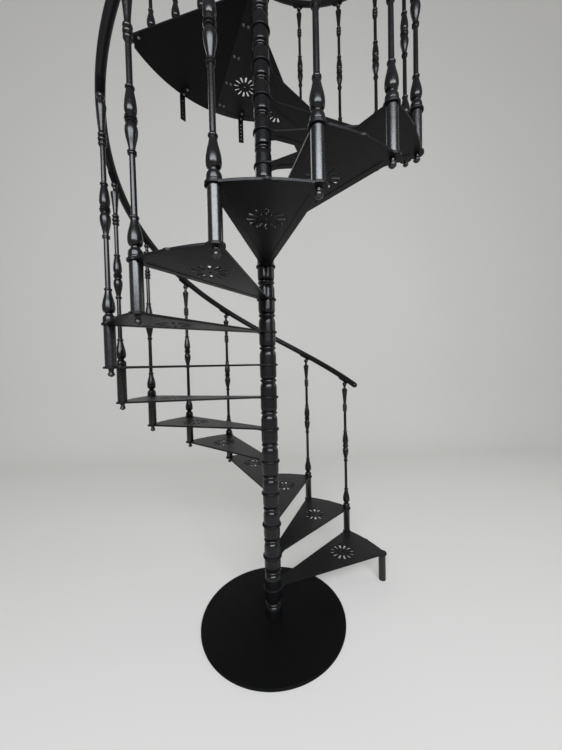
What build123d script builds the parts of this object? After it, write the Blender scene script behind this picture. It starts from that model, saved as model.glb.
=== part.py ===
from build123d import *
from math import asin, atan, cos, degrees, radians, sin, sqrt
import os

# A spiral stair of cast sections. The origin is on the column's axis at floor level, +Z is up, and
# the stair climbs counter-clockwise seen from above.

# Layout of the stair
riser = 185.0
tread_count = 18
tread_angle = 24.0
first_tread_angle = 30.6
guard_radius = 785.0

# Column: a steel pole inside hollow turned sections, with a tread's hub between each pair
pole_radius = 21.0
pole_clearance = 0.3
section_radius = 46.5
section_wall = 10.0
section_groove_depth = 7.0
section_shoulder_height = 20.0
section_shoulder_relief = 1.8
section_ring_drop = 83.0
section_ring_height = 26.0
section_ring_crest = 6.0
hub_radius = 55.5
hub_height = 12.0

# Base disc on the floor
base_radius = 415.0
base_thickness = 14.0
base_chamfer = 2.5

# Cast treads
plate_thickness = 10.0
edge_margin = 20.0
side_margin = 17.0
ear_radius = 31.0
cove_radius = 80.0
nose_radius = 13.0
nose_reach = 6.0
nose_blend = 18.0
recess_depth = 2.0
recess_inset = 15.5
recess_rim = 43.0
recess_corner = 12.0

# Pierced rosette of each tread
rosette_radius = 556.0
rosette_petals = 12
petal_inner = 35.0
petal_outer = 80.0
petal_inner_width = 8.0
petal_outer_width = 16.0
rosette_eye_radius = 6.0

# Spacer tubes between neighbouring treads, and the post under the first tread
spacer_radius = 23.5
spacer_wall = 5.0

# Cap nuts under the treads
nut_seat_radius = 11.5
nut_seat_height = 9.0
nut_stem_radius = 9.5
nut_stem_height = 22.0
nut_flange_radius = 15.0
nut_flange_height = 5.0
nut_point_height = 9.0

# Turned balusters: levels are heights above the tread that each one stands on
foot_radius = 26.0
foot_rim = 5.0
foot_waist_radius = 22.5
foot_waist_level = 21.0
foot_top_radius = 17.0
foot_top_level = 34.0
foot_groove_radius = 14.0
foot_groove_height = 8.0
bulb_base_radius = 16.0
bulb_radius = 24.5
bulb_low_level = 62.0
bulb_high_level = 80.0
bulb_shoulder_radius = 19.0
bulb_shoulder_level = 97.0
bulb_neck_radius = 12.0
shaft_radius = 9.5
bead_radius = 14.5
bead_height = 10.0
lower_bead_level = 143.0
vase_base_level = 364.0
vase_base_radius = 11.0
vase_radius = 19.5
vase_level = 443.0
vase_lip_radius = 17.0
vase_lip_level = 455.0
middle_groove_radius = 12.0
middle_ring_radius = 20.0
middle_ring_height = 26.0
middle_ring_level = 478.0
upper_vase_lip_level = 502.0
upper_vase_radius = 19.0
upper_vase_level = 515.0
upper_bead_level = 586.0
upper_shaft_radius = 8.0
reed_level = 770.0
reed_pitch = 20.0
reed_valley_radius = 9.0
cup_base_radius = 9.5
cup_base_level = 804.0
cup_radius = 17.0
cup_level = 914.0
cup_lip = 7.0
cup_neck_radius = 8.0
top_ball_radius = 11.0
top_ball_level = 954.0

# Handrail on flat saddles
rail_radius = 20.0
rail_joint = 0.4
rail_end_angle = 6.5
saddle_length = 90.0
saddle_width = 30.0
saddle_thickness = 4.0
seat_gap = 0.3

# Landing: a last step with a rosette, and a plate bolted to it with a half lap
landing_overhang = 62.0
seam_angle = 112.3
seam_clearance = 2.0
lap_width = 62.0
lap_thickness = 5.0
lap_rim = 6.0
lap_start = 110.0
guard_angle = 162.3
guard_margin = 44.0
corner_cut_edge = 50.0
corner_cut_arc = 68.0
landing_baluster_count = 4
landing_baluster_start = 183.0
landing_baluster_spacing = 172.0
landing_rail_overrun = 91.0

# Newel above the landing
newel_section_count = 5
cap_height = 112.0
cap_bead_radius = 53.0
cap_bead_height = 12.0
cap_ball_radius = 38.0
cap_neck_radius = 24.0
cap_neck_height = 14.0

# Straps that tie the landing to the wall of the stair well
strap_angles = (102.0, 134.0, 164.0)
strap_width = 40.0
strap_thickness = 6.0
strap_reach = 95.0
strap_drop = 180.0
strap_hole_radius = 4.0
strap_hole_count = 5
strap_hole_pitch = 28.0

# Sizes that follow from the ones above
half_angle = tread_angle / 2
edge_radius = guard_radius + edge_margin
landing_radius = guard_radius + landing_overhang
landing_number = tread_count + 1
landing_turn = first_tread_angle + tread_count * tread_angle - 360
seam_offset = hub_radius + seam_clearance
rail_slope = degrees(atan(riser / (radians(tread_angle) * guard_radius)))
hub_bore_radius = pole_radius + pole_clearance
section_bore_radius = section_radius - section_wall
saddle_drop = rail_radius + seat_gap + saddle_thickness
ball_crown_radius = top_ball_radius / 2
ball_top = top_ball_level + sqrt(top_ball_radius**2 - ball_crown_radius**2)
rail_height = top_ball_level + (top_ball_radius + seat_gap + saddle_drop) / cos(radians(rail_slope))
landing_rail_height = ball_top + seat_gap + saddle_drop
upright = (Align.CENTER, Align.CENTER, Align.MIN)

os.makedirs("parts", exist_ok=True)


def level(step):
    """Height of the top face of a step, where step 1 is the lowest tread."""
    return step * riser


def tread_turn(step):
    """Direction of a tread's centre line."""
    return first_tread_angle + (step - 1) * tread_angle


def baluster_turn(number):
    """Direction of the corner shared by tread number and the tread above it."""
    return tread_turn(number) + half_angle


def corner(number, height):
    """A shared corner at a height, turned with the stair."""
    turn = baluster_turn(number)
    x, y = along(turn, guard_radius)
    return Location((x, y, height), (0, 0, turn))


def along(direction, distance, offset=0.0):
    """Plan point at a distance along a direction from the axis, moved to its left by offset."""
    a = radians(direction)
    return (distance * cos(a) - offset * sin(a), distance * sin(a) + offset * cos(a))


def reach(radius, offset):
    """Distance along a line offset from the axis at which it meets a circle about the axis."""
    return sqrt(radius**2 - offset**2)


def crossing(direction_a, offset_a, direction_b, offset_b):
    """Plan point where two offset lines cross."""
    a = radians(direction_a)
    b = radians(direction_b)
    distance = (offset_b - offset_a * cos(b - a)) / sin(a - b)
    return along(direction_a, distance, offset_a)


def save(piece, name):
    """Label a finished piece and write it."""
    piece.part.label = name
    export_step(piece.part, f"parts/{name}.step")


# Column

def column_section(bottom, top):
    """One turned section of the column between two flat seats."""
    groove_radius = section_radius - section_groove_depth
    shoulder_radius = section_radius - section_shoulder_relief
    ring_middle = top - section_ring_drop
    lower_groove = ring_middle - section_ring_height / 2
    upper_groove = ring_middle + section_ring_height / 2
    with BuildPart() as section:
        with BuildSketch(Plane.XZ):
            with BuildLine():
                Polyline(
                    (section_bore_radius, bottom),
                    (section_radius, bottom),
                    (section_radius, lower_groove - section_shoulder_height),
                    (shoulder_radius, lower_groove - section_shoulder_height / 2),
                    (groove_radius, lower_groove),
                    (section_radius, ring_middle - section_ring_crest / 2),
                    (section_radius, ring_middle + section_ring_crest / 2),
                    (groove_radius, upper_groove),
                    (shoulder_radius, upper_groove + section_shoulder_height / 2),
                    (section_radius, upper_groove + section_shoulder_height),
                    (section_radius, top),
                    (section_bore_radius, top),
                    close=True,
                )
            make_face()
        revolve(axis=Axis.Z)
    return section.part


newel_top = level(landing_number + newel_section_count)
full_section = column_section(0, riser - hub_height)

with BuildPart() as base_plate:
    Cylinder(base_radius, base_thickness, align=upright)
    chamfer(base_plate.edges().group_by(Axis.Z)[-1], base_chamfer)
save(base_plate, "base_plate")

with BuildPart() as centre_pole:
    with Locations((0, 0, base_thickness)):
        Cylinder(pole_radius, newel_top - base_thickness, align=upright)
save(centre_pole, "centre_pole")

with BuildPart() as column_sections:
    add(column_section(base_thickness, level(1) - hub_height))
    with Locations(*[(0, 0, level(step)) for step in range(1, landing_number)]):
        add(full_section)
save(column_sections, "column_sections")

with BuildPart() as newel_sections:
    with Locations(*[(0, 0, level(landing_number + i)) for i in range(newel_section_count)]):
        add(full_section)
save(newel_sections, "newel_sections")

with BuildPart() as newel_rings:
    with BuildSketch() as ring_plan:
        Circle(hub_radius)
        Circle(hub_bore_radius, mode=Mode.SUBTRACT)
    ring_tops = [level(landing_number + i + 1) for i in range(newel_section_count)]
    for ring_top in ring_tops:
        extrude(ring_plan.sketch.moved(Location((0, 0, ring_top - hub_height))), amount=hub_height)
save(newel_rings, "newel_rings")

with BuildPart() as newel_cap:
    bead_bottom = newel_top + cap_height
    bead_top = bead_bottom + cap_bead_height
    ball_foot = bead_top + cap_neck_height
    ball_centre = ball_foot + reach(cap_ball_radius, cap_neck_radius)
    with BuildSketch(Plane.XZ):
        with BuildLine():
            Polyline(
                (0, newel_top),
                (section_radius, newel_top),
                (section_radius, bead_bottom),
                (cap_bead_radius, bead_bottom),
                (cap_bead_radius, bead_top),
                (cap_neck_radius, bead_top),
                (cap_neck_radius, ball_foot),
            )
            ThreePointArc(
                (cap_neck_radius, ball_foot),
                (cap_ball_radius, ball_centre),
                (0, ball_centre + cap_ball_radius),
            )
            Line((0, ball_centre + cap_ball_radius), (0, newel_top))
        make_face()
    revolve(axis=Axis.Z)
save(newel_cap, "newel_cap")


# Treads

def rosette_plan():
    """Petals and eye of the rosette, on the local centre line of a tread."""
    inner = petal_inner_width / 2
    outer = petal_outer_width / 2
    petal = [
        (petal_inner, -inner),
        (petal_outer - outer, -outer),
        (petal_outer, -outer / 2),
        (petal_outer, outer / 2),
        (petal_outer - outer, outer),
        (petal_inner, inner),
    ]
    with BuildSketch() as rosette:
        with Locations((rosette_radius, 0)):
            Circle(rosette_eye_radius)
            with PolarLocations(0, rosette_petals):
                Polygon(*petal, align=None)
    return rosette.sketch


def recess_plan(outer_radius, back_direction, back_inset):
    """Sunk panel under a tread, inside its raised rim and clear of its hub."""
    apex = crossing(-half_angle, recess_inset, back_direction, -back_inset)
    front_end = along(-half_angle, reach(outer_radius, recess_inset), recess_inset)
    back_end = along(back_direction, reach(outer_radius, back_inset), -back_inset)
    with BuildSketch() as recess:
        with BuildLine():
            Line(apex, front_end)
            ThreePointArc(front_end, (outer_radius, 0), back_end)
            Line(back_end, apex)
        make_face()
        far_corners = [v for v in recess.vertices() if v.X > outer_radius / 2]
        fillet(far_corners, recess_corner)
        Circle(hub_radius, mode=Mode.SUBTRACT)
    return recess.sketch


def sector_plan(outer_radius, back_direction, back_offset):
    """Plate between two offset side edges, an outer arc and the hub."""
    front_root = along(-half_angle, 0, -side_margin)
    front_end = along(-half_angle, reach(outer_radius, side_margin), -side_margin)
    back_end = along(back_direction, reach(outer_radius, back_offset), back_offset)
    back_root = along(back_direction, 0, back_offset)
    with BuildSketch() as sector:
        with BuildLine():
            Line(front_root, front_end)
            ThreePointArc(front_end, (outer_radius, 0), back_end)
            Polyline(back_end, back_root, front_root)
        make_face()
        Circle(hub_radius)
        hub_corners = [v for v in sector.vertices() if v.center().length < hub_radius + 1 and v.X > 0]
        fillet(hub_corners, cove_radius)
    return sector.sketch


with BuildPart() as tread:
    with BuildSketch(Plane.XY.offset(-plate_thickness)) as tread_plan:
        add(sector_plan(edge_radius, half_angle, side_margin))
        with Locations((edge_radius + nose_reach - nose_radius, 0)):
            Circle(nose_radius)
        near_nose = tread_plan.vertices().filter_by(lambda v: abs(v.Y) < nose_radius)
        nose_corners = near_nose.filter_by(lambda v: v.X > guard_radius / 2)
        fillet(nose_corners, nose_blend)
        with Locations(along(-half_angle, guard_radius), along(half_angle, guard_radius)):
            Circle(ear_radius)
    extrude(amount=plate_thickness)
    with BuildSketch(Plane.XY.offset(-hub_height)):
        Circle(hub_radius)
    extrude(amount=hub_height)
    with BuildSketch(Plane.XY.offset(-plate_thickness)):
        add(recess_plan(edge_radius - recess_rim, half_angle, recess_inset))
    extrude(amount=recess_depth, mode=Mode.SUBTRACT)
    with BuildSketch(Plane.XY.offset(-hub_height)):
        Circle(hub_bore_radius)
        add(rosette_plan())
    extrude(amount=hub_height, mode=Mode.SUBTRACT)

for step in range(1, landing_number):
    with BuildPart() as placed_tread:
        with Locations(Location((0, 0, level(step)), (0, 0, tread_turn(step)))):
            add(tread.part)
    save(placed_tread, f"tread_{step:02d}")


# Landing

def lap_plan(direction):
    """Strip where the landing plate's tongue lies on the last step, left of a direction."""
    with BuildSketch() as lap:
        start = along(direction, lap_start, seam_offset - lap_width)
        with Locations(Location((*start, 0), (0, 0, direction))):
            Rectangle(landing_radius, lap_width, align=(Align.MIN, Align.MIN))
        Circle(landing_radius, mode=Mode.INTERSECT)
    return lap.sketch


with BuildPart() as landing_step:
    seam_turn = seam_angle - landing_turn
    with BuildSketch(Plane.XY.offset(-plate_thickness)):
        add(sector_plan(landing_radius, seam_turn, seam_offset))
        with Locations(along(-half_angle, guard_radius)):
            Circle(ear_radius)
    extrude(amount=plate_thickness)
    with BuildSketch(Plane.XY.offset(-hub_height)):
        Circle(hub_radius)
    extrude(amount=hub_height)
    with BuildSketch(Plane.XY.offset(-plate_thickness)):
        add(recess_plan(landing_radius - recess_rim, seam_turn, lap_width + lap_rim - seam_offset))
    extrude(amount=recess_depth, mode=Mode.SUBTRACT)
    with BuildSketch(Plane.XY.offset(-hub_height)):
        Circle(hub_bore_radius)
        add(rosette_plan())
    extrude(amount=hub_height, mode=Mode.SUBTRACT)
    with BuildSketch(Plane.XY.offset(-lap_thickness)):
        add(lap_plan(seam_turn))
    extrude(amount=lap_thickness, mode=Mode.SUBTRACT)

with BuildPart() as placed_landing_step:
    with Locations(Location((0, 0, level(landing_number)), (0, 0, landing_turn))):
        add(landing_step.part)
save(placed_landing_step, "landing_step")

with BuildPart() as landing_plate:
    landing_top = level(landing_number)
    seam_root = crossing(seam_angle, seam_offset, guard_angle, guard_margin)
    seam_end = along(seam_angle, reach(landing_radius, seam_offset), seam_offset)
    edge_end_angle = guard_angle + degrees(asin(guard_margin / landing_radius))
    cut_angle = edge_end_angle - degrees(corner_cut_arc / landing_radius)
    cut_on_arc = along(cut_angle, landing_radius)
    cut_reach = reach(landing_radius, guard_margin) - corner_cut_edge
    cut_on_edge = along(guard_angle, cut_reach, guard_margin)
    arc_middle = along((seam_angle + cut_angle) / 2, landing_radius)
    with BuildSketch(Plane.XY.offset(landing_top - plate_thickness)):
        with BuildLine():
            Line(seam_root, seam_end)
            ThreePointArc(seam_end, arc_middle, cut_on_arc)
            Polyline(cut_on_arc, cut_on_edge, seam_root)
        make_face()
    extrude(amount=plate_thickness)
    with BuildSketch(Plane.XY.offset(landing_top - lap_thickness)):
        add(lap_plan(seam_angle))
    extrude(amount=lap_thickness)
save(landing_plate, "landing_plate")

with BuildPart() as wall_straps:
    strap_top = level(landing_number) - plate_thickness
    strap_outer = landing_radius + strap_thickness
    first_hole = strap_top - strap_drop + strap_hole_pitch
    for direction in strap_angles:
        radial = Vector(*along(direction, 1))
        across = radial.cross(Vector(0, 0, 1))
        with BuildSketch(Plane(origin=(0, 0, strap_top), x_dir=radial, z_dir=across)):
            with BuildLine():
                Polyline(
                    (strap_outer - strap_reach, 0),
                    (strap_outer, 0),
                    (strap_outer, -strap_drop),
                    (strap_outer - strap_thickness, -strap_drop),
                    (strap_outer - strap_thickness, -strap_thickness),
                    (strap_outer - strap_reach, -strap_thickness),
                    close=True,
                )
            make_face()
        extrude(amount=strap_width / 2, both=True)
        x, y = along(direction, strap_outer - strap_thickness / 2)
        hole_heights = [first_hole + i * strap_hole_pitch for i in range(strap_hole_count)]
        with Locations(*[Plane(origin=(x, y, z), z_dir=radial) for z in hole_heights]):
            Cylinder(strap_hole_radius, 2 * strap_thickness, mode=Mode.SUBTRACT)
save(wall_straps, "wall_straps")


# Spacer tubes, post and cap nuts at the shared corners

corners = range(1, landing_number)
spacer_height = riser - plate_thickness

with BuildPart() as spacer:
    Cylinder(spacer_radius, spacer_height, align=upright)
    Cylinder(spacer_radius - spacer_wall, spacer_height, align=upright, mode=Mode.SUBTRACT)

with BuildPart() as spacer_tubes:
    with Locations(*[corner(number, level(number)) for number in corners]):
        add(spacer.part)
save(spacer_tubes, "spacer_tubes")

with BuildPart() as first_tread_post:
    with Locations(corner(0, 0)):
        add(spacer.part)
save(first_tread_post, "first_tread_post")

with BuildPart() as cap_nut:
    flange_bottom = -nut_stem_height - nut_flange_height
    with BuildSketch(Plane.XZ):
        with BuildLine():
            Polyline(
                (0, 0),
                (nut_seat_radius, 0),
                (nut_seat_radius, -nut_seat_height),
                (nut_stem_radius, -nut_seat_height),
                (nut_stem_radius, -nut_stem_height),
                (nut_flange_radius, -nut_stem_height),
                (nut_flange_radius, flange_bottom),
                (0, flange_bottom - nut_point_height),
                close=True,
            )
        make_face()
    revolve(axis=Axis.Z)

with BuildPart() as baluster_nuts:
    with Locations(*[corner(number, level(number) - plate_thickness) for number in corners]):
        add(cap_nut.part)
save(baluster_nuts, "baluster_nuts")


# Balusters

def bead_points(at, before, after):
    """A raised bead of a turned profile, between the radii before and after it."""
    return [
        (before, at - bead_height / 2),
        (bead_radius, at),
        (after, at + bead_height / 2),
    ]


with BuildPart() as baluster:
    bulb_base_level = foot_top_level + foot_groove_height
    middle_ring_bottom = middle_ring_level - middle_ring_height / 2
    middle_ring_top = middle_ring_level + middle_ring_height / 2
    lip_level = cup_level + cup_lip
    ball_bottom = top_ball_level - reach(top_ball_radius, cup_neck_radius)
    ball_flat = top_ball_radius / 2
    with BuildSketch(Plane.XZ):
        with BuildLine():
            Polyline(
                (0, 0),
                (foot_radius, 0),
                (foot_radius, foot_rim),
                (foot_waist_radius, foot_waist_level),
                (foot_top_radius, foot_top_level),
                (foot_groove_radius, foot_top_level),
                (foot_groove_radius, bulb_base_level),
                (bulb_base_radius, bulb_base_level),
                (bulb_radius, bulb_low_level),
                (bulb_radius, bulb_high_level),
                (bulb_shoulder_radius, bulb_shoulder_level),
                *bead_points(lower_bead_level, bulb_neck_radius, shaft_radius),
                *bead_points(vase_base_level, shaft_radius, vase_base_radius),
                (vase_radius, vase_level),
                (vase_lip_radius, vase_lip_level),
                (middle_groove_radius, middle_ring_bottom),
                (middle_ring_radius, middle_ring_bottom + middle_ring_height / 4),
                (middle_ring_radius, middle_ring_top - middle_ring_height / 4),
                (middle_groove_radius, middle_ring_top),
                (vase_lip_radius, upper_vase_lip_level),
                (upper_vase_radius, upper_vase_level),
                *bead_points(upper_bead_level, shaft_radius, upper_shaft_radius),
                (upper_shaft_radius, reed_level - reed_pitch - bead_height / 2),
                (bead_radius, reed_level - reed_pitch),
                (reed_valley_radius, reed_level - reed_pitch / 2),
                (bead_radius, reed_level),
                (reed_valley_radius, reed_level + reed_pitch / 2),
                (bead_radius, reed_level + reed_pitch),
                (upper_shaft_radius, reed_level + reed_pitch + bead_height / 2),
                (cup_base_radius, cup_base_level),
                (cup_radius, cup_level),
                (cup_radius, lip_level),
                (cup_neck_radius, lip_level),
                (cup_neck_radius, ball_bottom),
                (top_ball_radius, top_ball_level - ball_flat / 2),
                (top_ball_radius, top_ball_level + ball_flat / 2),
                (ball_crown_radius, ball_top),
                (0, ball_top),
                close=True,
            )
        make_face()
    revolve(axis=Axis.Z)

with BuildPart() as balusters:
    with Locations(*[corner(number, level(number + 1)) for number in corners]):
        add(baluster.part)
save(balusters, "balusters")

landing_spots = range(landing_baluster_count)
guard_reaches = [landing_baluster_start + i * landing_baluster_spacing for i in landing_spots]

with BuildPart() as landing_balusters:
    with Locations(*[(*along(guard_angle, x), level(landing_number)) for x in guard_reaches]):
        add(baluster.part)
save(landing_balusters, "landing_balusters")


# Handrails

joint_angle = degrees(rail_joint / guard_radius)


def rail_point(angle):
    """Point on the handrail's centre line, at an angle past a baluster's corner."""
    return (*along(angle, guard_radius), angle / tread_angle * riser)


def rail_origin(number):
    """The point of the axis level with the rail over a corner, turned to that corner."""
    return Location((0, 0, level(number + 1) + rail_height), (0, 0, baluster_turn(number)))


with BuildPart() as rail_length:
    with BuildLine() as length_line:
        ThreePointArc(
            rail_point(joint_angle / 2),
            rail_point(half_angle),
            rail_point(tread_angle - joint_angle / 2),
        )
    with BuildSketch(Plane(origin=length_line.line @ 0, z_dir=length_line.line % 0)):
        Circle(rail_radius)
    sweep(path=length_line.line)

with BuildPart() as handrail:
    with Locations(*[rail_origin(number) for number in corners[:-1]]):
        add(rail_length.part)
save(handrail, "handrail")

with BuildPart() as rail_dome:
    Sphere(rail_radius)
    split(bisect_by=Plane.XY, keep=Keep.TOP)

with BuildPart() as rail_end:
    with BuildLine() as end_line:
        ThreePointArc(
            rail_point(joint_angle / 2),
            rail_point(rail_end_angle / 2),
            rail_point(rail_end_angle),
        )
    with BuildSketch(Plane(origin=end_line.line @ 0, z_dir=end_line.line % 0)):
        Circle(rail_radius)
    sweep(path=end_line.line)
    with Locations(Plane(origin=end_line.line @ 1, z_dir=end_line.line % 1)):
        add(rail_dome.part)

with BuildPart() as handrail_ends:
    with Locations(rail_origin(corners[-1]), rail_origin(corners[0]) * Rotation(180, 0, 0)):
        add(rail_end.part)
save(handrail_ends, "handrail_ends")

with BuildPart() as handrail_saddles:
    saddle_middle = -(rail_radius + seat_gap + saddle_thickness / 2)
    for number in corners:
        rail_centre = corner(number, level(number + 1) + rail_height)
        with Locations(rail_centre * Rotation(rail_slope, 0, 0)):
            with Locations((0, 0, saddle_middle)):
                Box(saddle_width, saddle_length, saddle_thickness)
save(handrail_saddles, "handrail_saddles")

landing_rail_level = level(landing_number) + landing_rail_height
rail_outer_end = guard_reaches[-1] + landing_rail_overrun

with BuildPart() as landing_rail:
    rail_axis = Plane(origin=(0, 0, landing_rail_level), z_dir=(*along(guard_angle, 1), 0))
    with BuildSketch(rail_axis):
        Circle(rail_radius)
    extrude(amount=rail_outer_end)
    with Locations((0, 0, newel_top)):
        Cylinder(section_radius, cap_height, align=upright, mode=Mode.SUBTRACT)
    with Locations(rail_axis.offset(rail_outer_end)):
        Sphere(rail_radius)
save(landing_rail, "landing_rail")

with BuildPart() as landing_saddles:
    for x in guard_reaches:
        spot = (*along(guard_angle, x), landing_rail_level + saddle_middle)
        with Locations(Location(spot, (0, 0, guard_angle))):
            Box(saddle_length, saddle_width, saddle_thickness)
save(landing_saddles, "landing_saddles")
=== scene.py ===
# %% [markdown]
# # A black cast spiral stair
# The stair stands on a thin disc, climbs counter-clockwise round a turned column, and ends on a
# landing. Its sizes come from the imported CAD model, which this script dresses: turned pieces get
# their fine mouldings, castings get soft edges and round petals, the fixings that the CAD model
# leaves out are added, and everything gets a satin black paint.

import math

import bmesh
import bpy
from mathutils import Matrix, Vector


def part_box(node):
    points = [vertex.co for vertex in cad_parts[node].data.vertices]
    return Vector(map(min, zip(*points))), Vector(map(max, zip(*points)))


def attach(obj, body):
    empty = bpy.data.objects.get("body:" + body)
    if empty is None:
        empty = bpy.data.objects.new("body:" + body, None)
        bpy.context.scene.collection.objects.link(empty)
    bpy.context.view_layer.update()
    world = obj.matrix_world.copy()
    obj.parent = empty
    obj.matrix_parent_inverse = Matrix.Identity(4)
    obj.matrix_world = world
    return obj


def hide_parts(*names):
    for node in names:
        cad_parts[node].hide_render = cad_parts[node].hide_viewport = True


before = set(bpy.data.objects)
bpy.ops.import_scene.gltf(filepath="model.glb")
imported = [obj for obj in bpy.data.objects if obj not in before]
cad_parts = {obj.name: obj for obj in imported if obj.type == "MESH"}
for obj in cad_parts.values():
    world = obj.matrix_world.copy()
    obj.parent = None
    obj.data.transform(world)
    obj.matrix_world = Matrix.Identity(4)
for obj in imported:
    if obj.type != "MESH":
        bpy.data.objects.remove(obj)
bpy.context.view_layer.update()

# %% [markdown]
# ## Measures
# Every value is in metres. Heights that the CAD nodes show are read from their boxes, so the
# pieces made here stay where the nodes are. The few sizes that a box can't tell, such as the
# circle of the balusters, are written once here and used everywhere.

# %% Measure the stair
tread_count = 18
turn = math.radians(24.0)
half_turn = turn / 2
first_turn = math.radians(30.6)
guard_radius = 0.785
base_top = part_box("base_plate")[1].z
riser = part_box("tread_02")[1].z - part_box("tread_01")[1].z
landing_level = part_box("landing_step")[1].z
newel_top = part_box("newel_rings")[1].z
hub_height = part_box("tread_01")[1].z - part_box("tread_01")[0].z
plate_thickness = landing_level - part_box("landing_plate")[0].z
guard_turn = math.radians(162.3)
seam_turn = math.radians(112.3)
tiny = 1e-6
print(f"riser {riser:.3f} m, hub {hub_height:.3f} m, plate {plate_thickness:.3f} m")
print(f"landing at {landing_level:.3f} m, newel to {newel_top:.3f} m")


def corner_turn(number):
    """Direction of the corner shared by tread number and the tread above it."""
    return first_turn + (number - 0.5) * turn


def plan(direction, distance, height=0.0, offset=0.0):
    """The point at a distance along a direction from the axis, moved to its left by offset."""
    x = distance * math.cos(direction) - offset * math.sin(direction)
    y = distance * math.sin(direction) + offset * math.cos(direction)
    return Vector((x, y, height))


# %% [markdown]
# ## Paint
# All of the stair has one satin black paint, but it lies differently on each kind of surface: it is
# dull on flat castings and plate, and shines on turned pieces and tube, which are smooth below it.
# Only the bolts are plated, and the disc's paint is a darker copy of the plate's with almost no dust:
# painted shade for the dark room that its top mirrors. One material with a mask for each kind would
# be hard to read, so each kind has its own, and what they share is a shader node group: fine
# orange-peel noise that drives both the bump's height and a little variation of the roughness. A
# second group lightens faces that look up, where dust settles, in soft patches.

# %% Node helpers


def link_nodes(tree, *links):
    """Join nodes. A link is a node, its output, another node and that one's input."""
    for source, outlet, target, inlet in links:
        tree.links.new(source.outputs[outlet], target.inputs[inlet])


def add_nodes(tree, *kinds):
    """Add nodes to a tree; a kind in capitals is the operation of a Math node."""
    added = []
    for kind in kinds:
        node = tree.nodes.new("ShaderNodeMath" if kind.isupper() else kind)
        if kind.isupper():
            node.operation = kind
        added.append(node)
    return added


def set_inputs(node, values):
    """Set inputs of a node by name or number."""
    for name, value in values.items():
        node.inputs[name].default_value = value


def new_group(name, kind, inputs, outputs):
    """A node group and its two end nodes. Inputs and outputs map names to types."""
    tree = bpy.data.node_groups.new(name, kind)
    for direction, sockets in (("INPUT", inputs), ("OUTPUT", outputs)):
        for title, value in sockets.items():
            tree.interface.new_socket(title, in_out=direction, socket_type=f"NodeSocket{value}")
    return tree, *add_nodes(tree, "NodeGroupInput", "NodeGroupOutput")


# %% Paint grain group
grain, grain_in, grain_out = new_group(
    "paint grain",
    "ShaderNodeTree",
    {
        "Vector": "Vector",
        "Peel Scale": "Float",
        "Cast Scale": "Float",
        "Cast Share": "Float",
        "Roughness": "Float",
        "Spread": "Float",
    },
    {"Height": "Float", "Roughness": "Float"},
)
peel, cast, blend, rough, centred = add_nodes(
    grain, "ShaderNodeTexNoise", "ShaderNodeTexNoise", "ShaderNodeMix", "MULTIPLY_ADD", "SUBTRACT"
)
set_inputs(peel, {"Detail": 3.0})
set_inputs(cast, {"Detail": 6.0, "Roughness": 0.65})
set_inputs(centred, {1: 0.5})
link_nodes(
    grain,
    (grain_in, "Vector", peel, "Vector"),
    (grain_in, "Peel Scale", peel, "Scale"),
    (grain_in, "Vector", cast, "Vector"),
    (grain_in, "Cast Scale", cast, "Scale"),
    (grain_in, "Cast Share", blend, "Factor"),
    (peel, "Fac", blend, "A"),
    (cast, "Fac", blend, "B"),
    (blend, "Result", grain_out, "Height"),
    (cast, "Fac", centred, 0),
    (centred, 0, rough, 0),
    (grain_in, "Spread", rough, 1),
    (grain_in, "Roughness", rough, 2),
    (rough, 0, grain_out, "Roughness"),
)
print("paint grain:", len(grain.nodes), "nodes")

# %% Settled dust group
dust, dust_in, dust_out = new_group(
    "settled dust",
    "ShaderNodeTree",
    {"Vector": "Vector", "Amount": "Float", "Paint": "Color", "Dust": "Color"},
    {"Color": "Color"},
)
geometry, split, facing_up, patches, masked, strength, tint = add_nodes(
    dust,
    "ShaderNodeNewGeometry",
    "ShaderNodeSeparateXYZ",
    "ShaderNodeMapRange",
    "ShaderNodeTexNoise",
    "MULTIPLY",
    "MULTIPLY",
    "ShaderNodeMix",
)
set_inputs(facing_up, {"From Min": 0.55, "From Max": 1.0})
set_inputs(patches, {"Scale": 14.0, "Detail": 5.0})
tint.data_type = "RGBA"
link_nodes(
    dust,
    (geometry, "Normal", split, 0),
    (split, "Z", facing_up, "Value"),
    (dust_in, "Vector", patches, "Vector"),
    (facing_up, "Result", masked, 0),
    (patches, "Fac", masked, 1),
    (masked, 0, strength, 0),
    (dust_in, "Amount", strength, 1),
    (strength, 0, tint, "Factor"),
    (dust_in, "Paint", tint, "A"),
    (dust_in, "Dust", tint, "B"),
    (tint, "Result", dust_out, "Color"),
)
print("settled dust:", len(dust.nodes), "nodes")

# %% Build the paints
roughness_spread = 0.25
grain_depth = 0.0006
dust_colour = (0.05, 0.049, 0.047, 1.0)
casting_grain = {"Peel Scale": 700.0, "Cast Scale": 110.0, "Cast Share": 0.45}
turned_grain = {"Peel Scale": 700.0, "Cast Scale": 110.0, "Cast Share": 0.25}
tube_grain = {"Peel Scale": 1100.0, "Cast Scale": 60.0, "Cast Share": 0.15}
plate_grain = {"Peel Scale": 900.0, "Cast Scale": 40.0, "Cast Share": 0.30}
screw_grain = {"Peel Scale": 1200.0, "Cast Scale": 200.0, "Cast Share": 0.30}


def new_material(name):
    """A material, its node tree and its Principled node."""
    material = bpy.data.materials.new(name)
    material.use_nodes = True
    return material, material.node_tree, material.node_tree.nodes["Principled BSDF"]


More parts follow.
